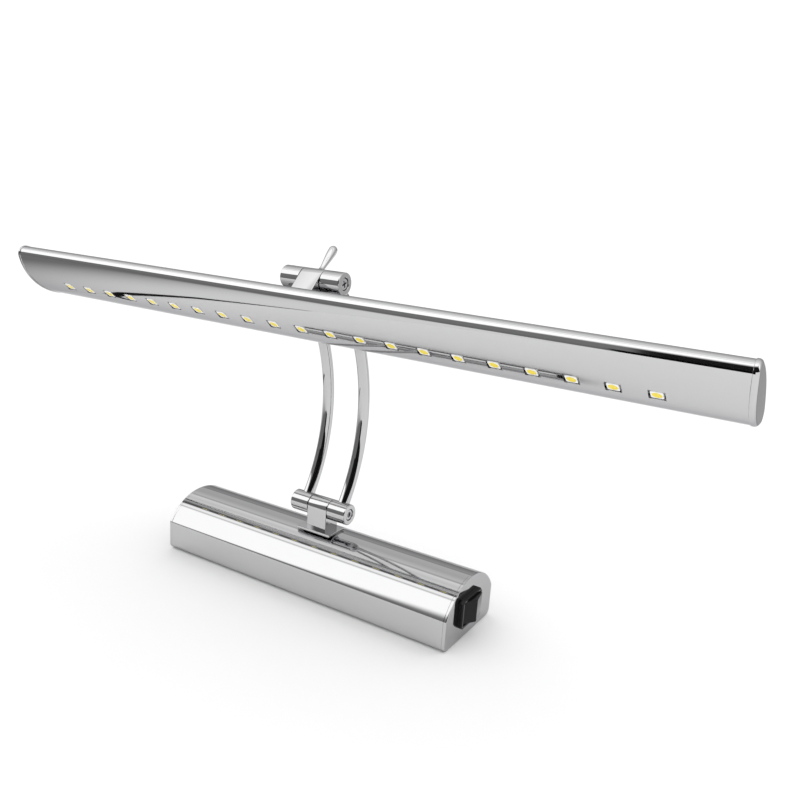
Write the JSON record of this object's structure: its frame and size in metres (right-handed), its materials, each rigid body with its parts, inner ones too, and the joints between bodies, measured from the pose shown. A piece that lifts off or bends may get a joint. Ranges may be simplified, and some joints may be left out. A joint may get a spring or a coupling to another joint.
{
  "type": "picture light",
  "caption": "Chrome picture light: lens-section LED tube with tilt lever on a twin-rod folding arm, over a domed base with a rocker switch.",
  "frame": {"origin": "centre of the base's flat mounting face, which is also the face it stands on", "axes": "+X along the tube and the base, towards the end with the switch; +Z out of the mounting face, so away from a wall or up from a table; -Y the side that the lamp leans to, which faces down on a wall"},
  "size_m": [0.4018, 0.0607, 0.1773],
  "materials": {
    "chromed_metal": "mirror",
    "chromed_tube": "mirror chrome on aluminium",
    "plated_screw": "bright",
    "zinc_steel": "zinc plated",
    "bare_aluminium": "satin",
    "white_case": "matte",
    "circuit_board": "satin",
    "white_board": "satin",
    "ivory_block": "matte",
    "brass_contact": "plain",
    "lead_cover": "matte",
    "black_switch": "gloss",
    "grey_rubber": "matte",
    "washer_nylon": "matte",
    "led_body": "satin",
    "led_phosphor": "satin"
  },
  "bodies": {
    "base": {"base_cover": "chromed_metal", "left_end_plate": "chromed_metal", "right_end_plate": "chromed_metal", "back_plate": "zinc_steel", "cover_screws": "plated_screw", "cable_grommet": "grey_rubber", "hinge_foot": "chromed_metal", "foot_clamp_plate": "zinc_steel", "foot_screws": "zinc_steel", "driver_case": "white_case", "driver_lid": "white_case", "driver_board": "circuit_board", "terminal_block": "ivory_block", "terminal_screws": "brass_contact", "base_leads": "lead_cover", "switch_housing": "black_switch", "switch_terminals": "brass_contact"},
    "rocker": {"switch_rocker": "black_switch"},
    "arm": {"left_rod": "chromed_metal", "right_rod": "chromed_metal", "lower_left_barrel": "chromed_metal", "lower_right_barrel": "chromed_metal", "upper_left_barrel": "chromed_metal", "upper_right_barrel": "chromed_metal", "lower_pivot_screw": "plated_screw", "lower_pivot_nut": "plated_screw", "lower_friction_washers": "washer_nylon", "upper_pivot_screw": "plated_screw", "upper_pivot_nut": "plated_screw", "upper_friction_washers": "washer_nylon", "arm_lead": "lead_cover"},
    "head": {"head_knuckle": "chromed_metal", "tilt_lever": "chromed_metal", "knuckle_saddle": "zinc_steel", "knuckle_screws": "zinc_steel", "tube_shell": "chromed_tube", "left_end_cap": "chromed_metal", "right_end_cap": "chromed_metal", "heat_spreader": "bare_aluminium", "led_board": "white_board", "led_packages": "led_body", "led_phosphors": "led_phosphor", "head_lead": "lead_cover"}
  },
  "joints": [
    {"name": "arm_fold", "type": "hinge", "parent": "base", "child": "arm", "pos_m": [0, -0.0015, 0.0422], "axis": [1, 0, 0], "range_deg": [-60, 75]},
    {"name": "head_tilt", "type": "hinge", "parent": "arm", "child": "head", "pos_m": [0, -0.0162, 0.1617], "axis": [1, 0, 0], "range_deg": [-120, 0]},
    {"name": "switch_rock", "type": "hinge", "parent": "base", "child": "rocker", "pos_m": [0.0897, -0.0022, 0.0148], "axis": [0, 0, 1], "range_deg": [0, 18]}
  ]
}
